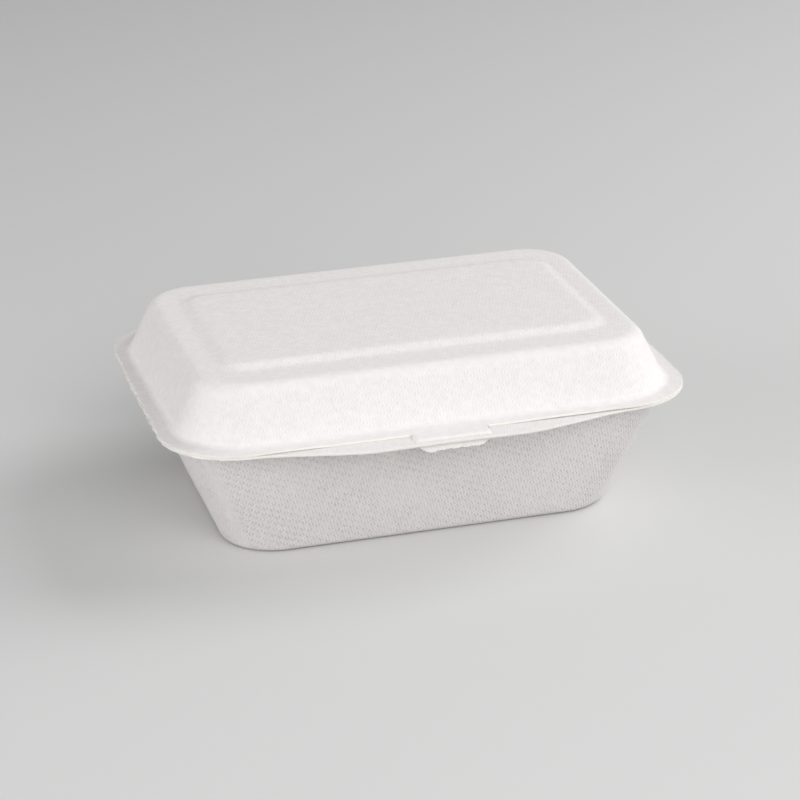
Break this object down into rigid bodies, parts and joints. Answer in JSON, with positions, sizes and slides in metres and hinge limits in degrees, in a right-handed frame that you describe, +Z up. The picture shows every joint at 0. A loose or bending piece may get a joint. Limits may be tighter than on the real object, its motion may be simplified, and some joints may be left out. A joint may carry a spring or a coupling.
{
  "type": "bagasse clamshell container",
  "caption": "Rectangular moulded-pulp food box with a tapered tray, a hinged domed lid with a raised panel, and a lock tab pushed through a slot in the front tongue.",
  "frame": {"origin": "middle of the flat base, on the surface the box stands on", "axes": "+X along the fold at the back, to the right seen from the front; -Y towards the front with the tongue and lock tab; +Z up"},
  "size_m": [0.182, 0.1428, 0.066],
  "materials": {
    "tray_pulp": "matt moulded bagasse pulp, off-white, with a fine wire-screen imprint",
    "lid_pulp": "matt moulded bagasse pulp, off-white, with a fine wire-screen imprint"
  },
  "bodies": {
    "tray": {"tray": "tray_pulp"},
    "lid": {"lid": "lid_pulp"}
  },
  "joints": [
    {"name": "lid_hinge", "type": "hinge", "parent": "tray", "child": "lid", "pos_m": [0, 0.067, 0.0455], "axis": [-1, 0, 0], "range_deg": [0, 180]}
  ]
}
